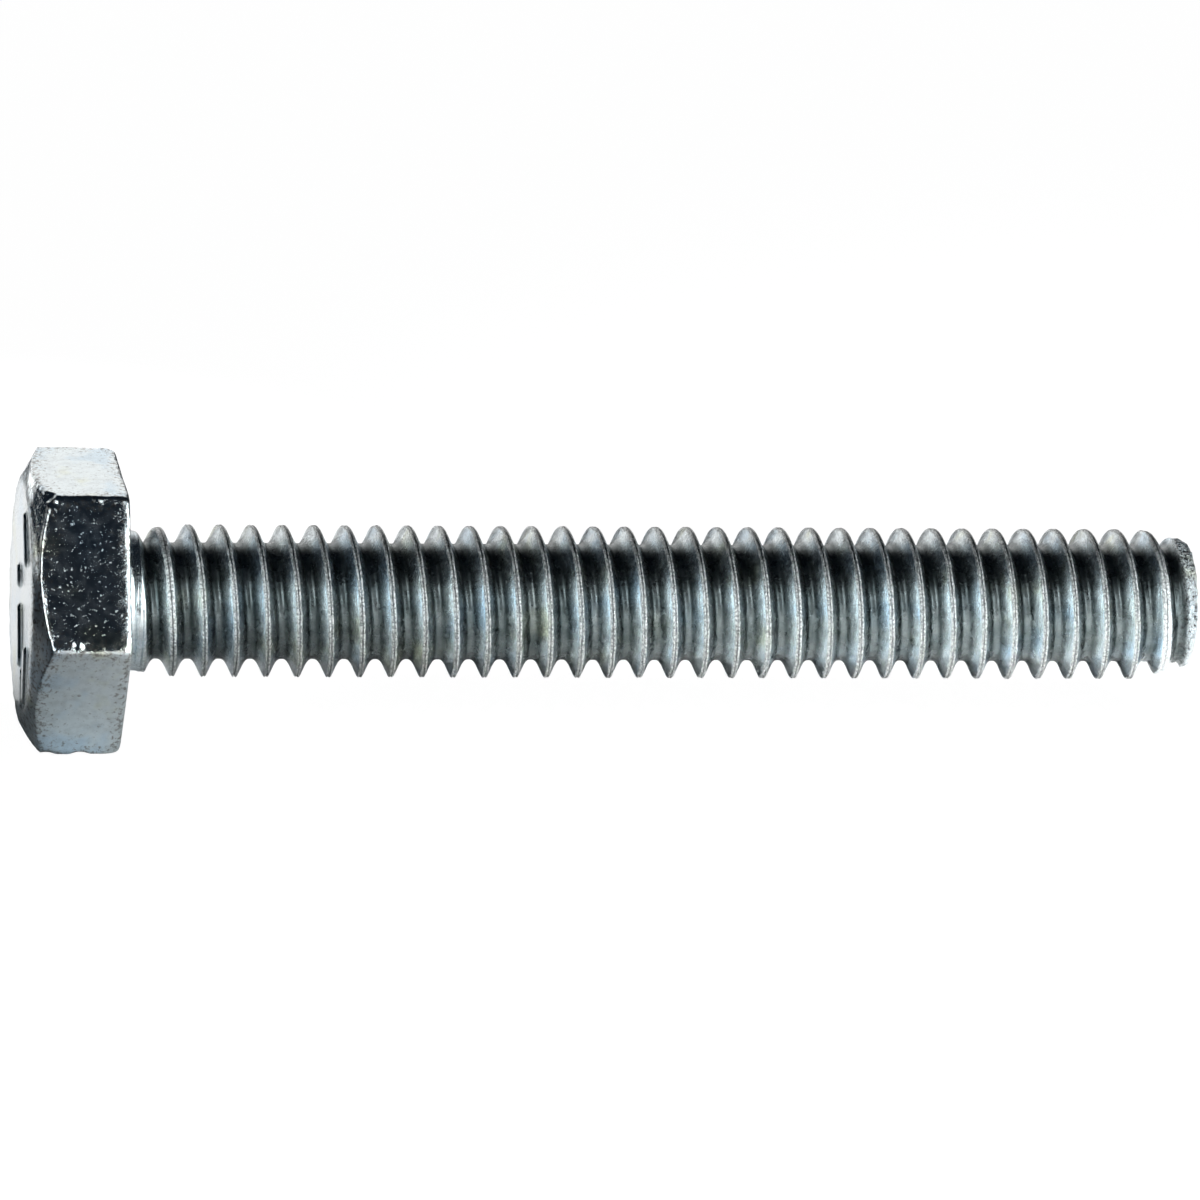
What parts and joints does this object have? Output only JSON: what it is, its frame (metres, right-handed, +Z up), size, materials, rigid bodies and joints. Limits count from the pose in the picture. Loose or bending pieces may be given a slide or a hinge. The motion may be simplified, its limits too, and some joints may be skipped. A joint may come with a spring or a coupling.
{
  "type": "hex bolt",
  "caption": "Zinc-plated hex head cap screw, threaded all the way up to the head, with a chamfered head top and a tapered tip.",
  "frame": {"origin": "middle of the flat top face of the head", "axes": "+X along the bolt's axis from the head to the tip, +Z up square to the wrench flat that faces up, +Y towards a corner of the head"},
  "size_m": [0.0478, 0.0124, 0.011],
  "materials": {
    "zinc_plated_steel": "bright clear zinc plating over steel, mottled and lightly scratched"
  },
  "bodies": {
    "root": {"bolt": "zinc_plated_steel"}
  },
  "joints": []
}
